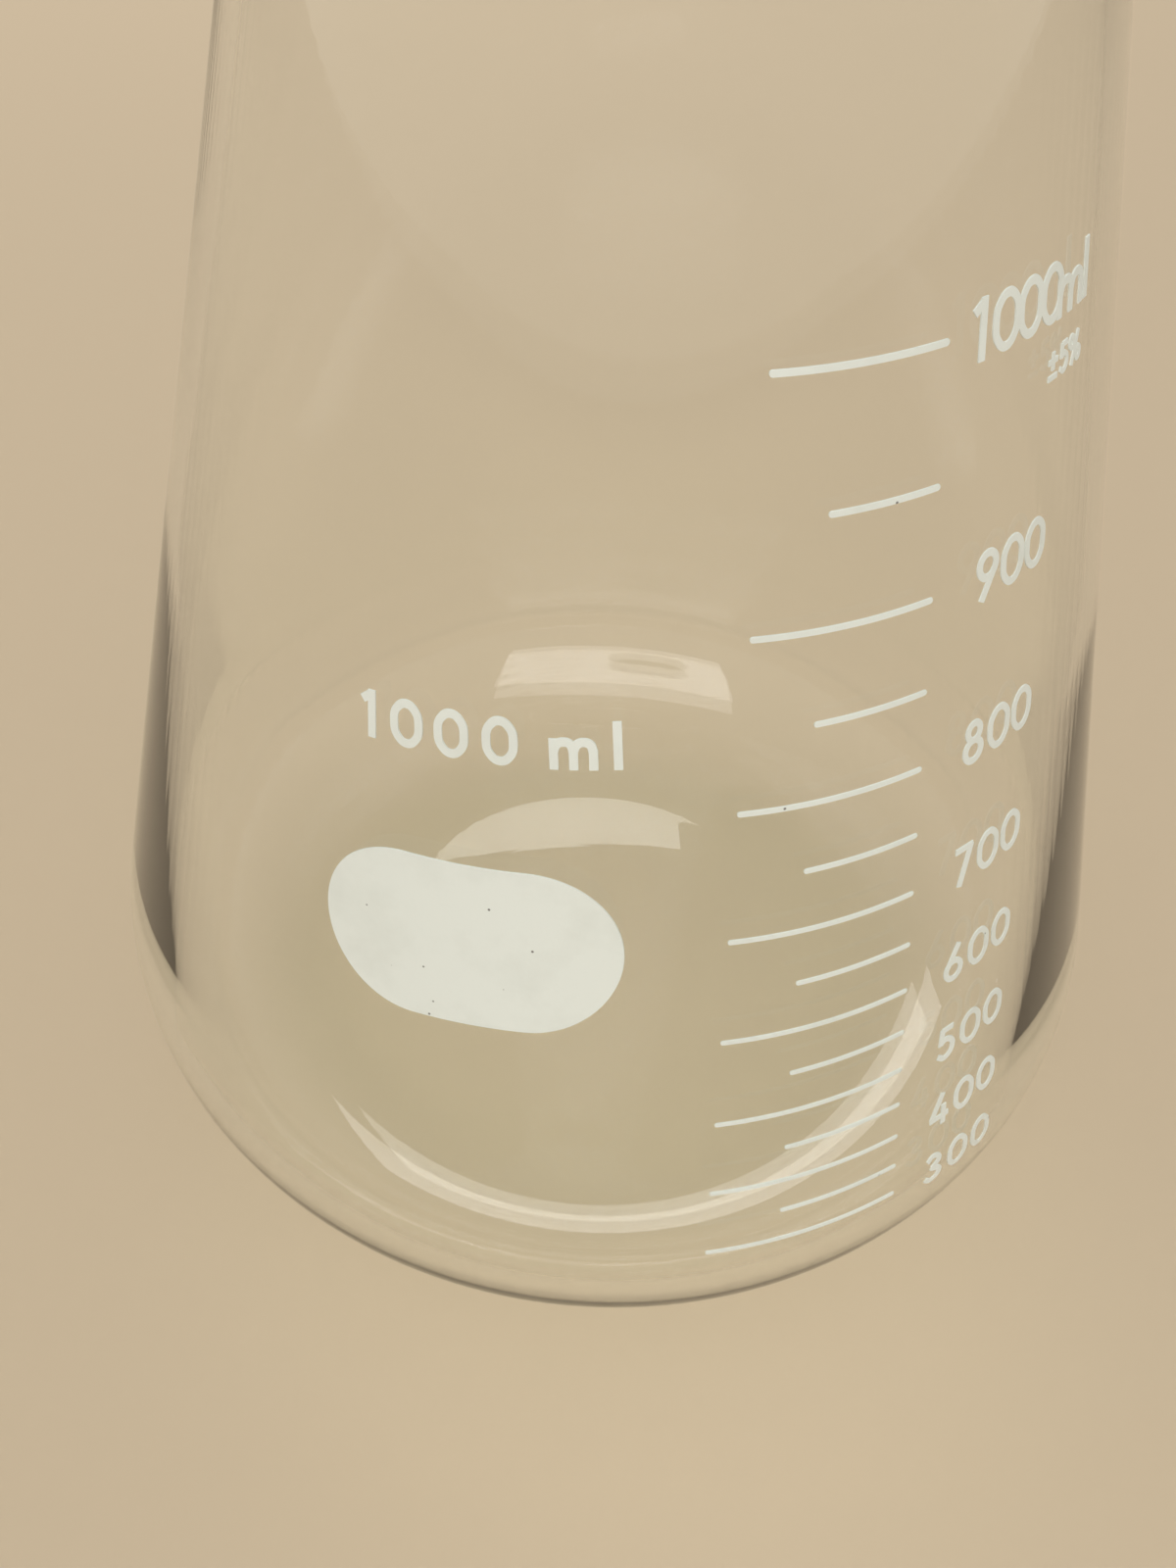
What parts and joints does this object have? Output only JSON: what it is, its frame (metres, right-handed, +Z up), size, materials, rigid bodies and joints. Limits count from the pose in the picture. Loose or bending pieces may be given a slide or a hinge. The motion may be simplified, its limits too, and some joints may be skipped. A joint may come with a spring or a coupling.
{
  "type": "erlenmeyer flask",
  "caption": "Conical laboratory flask in clear glass with a straight beaded neck, volume lines and an enamel spot to write on, for mixing and heating liquids.",
  "frame": {"origin": "centre of the foot ring, on the surface the flask stands on", "axes": "+Z up along the axis of the glass; -Y is the front, midway between the spot to write on and the volume lines; +X to the right of a viewer at the front"},
  "size_m": [0.1292, 0.1292, 0.224],
  "materials": {
    "glass": "clear borosilicate glass, faintly green at its edges",
    "enamel": "off-white enamel fired onto the glass, smooth and half matt"
  },
  "bodies": {
    "root": {"flask": "glass", "graduation_lines": "enamel", "marking_spot": "enamel"}
  },
  "joints": []
}
